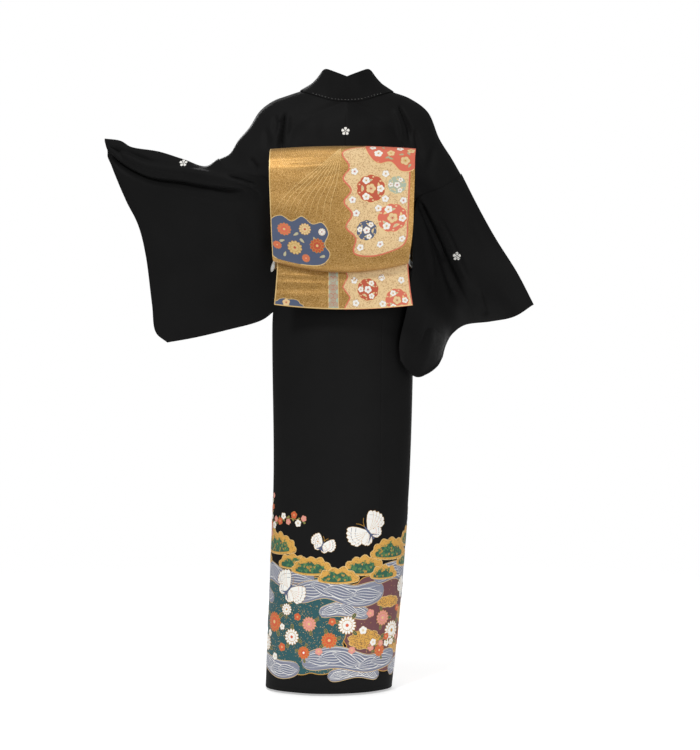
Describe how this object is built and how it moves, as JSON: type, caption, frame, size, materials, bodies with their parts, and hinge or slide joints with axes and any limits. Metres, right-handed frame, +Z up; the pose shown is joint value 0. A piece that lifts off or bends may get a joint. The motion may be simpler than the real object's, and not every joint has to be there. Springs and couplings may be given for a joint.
{
  "type": "black formal kimono, worn, with its obi",
  "caption": "Ankle-length black formal kimono with a figured hem, held as worn with both sleeves out, its gold obi tied in a flat drum behind and held by a white braid.",
  "frame": {"origin": "middle of the neck opening at the height of the shoulders, where the wearer's neck holds the garment", "axes": "+Z up, -Y towards the front of the garment, +X towards the wearer's left"},
  "size_m": [0.9674, 0.3868, 1.3437],
  "materials": {
    "black_silk": "satin",
    "figured_silk": "satin",
    "gold_brocade": "satin",
    "white_braid": "satin"
  },
  "bodies": {
    "root": {"bodice_left": "black_silk", "bodice_right": "black_silk", "overlap_left_top": "black_silk", "overlap_right_top": "black_silk", "skirt_back_left": "figured_silk", "skirt_back_right": "figured_silk", "skirt_front_left": "figured_silk", "skirt_front_right": "figured_silk", "overlap_left_skirt": "figured_silk", "overlap_right_skirt": "figured_silk", "sleeve_left": "black_silk", "sleeve_right": "black_silk", "collar": "black_silk", "over_collar": "black_silk", "obi_band": "gold_brocade", "obi_drum": "gold_brocade", "obi_tail": "gold_brocade", "obi_hand": "gold_brocade", "obi_cord": "white_braid", "obi_cord_knot": "white_braid"}
  },
  "joints": []
}
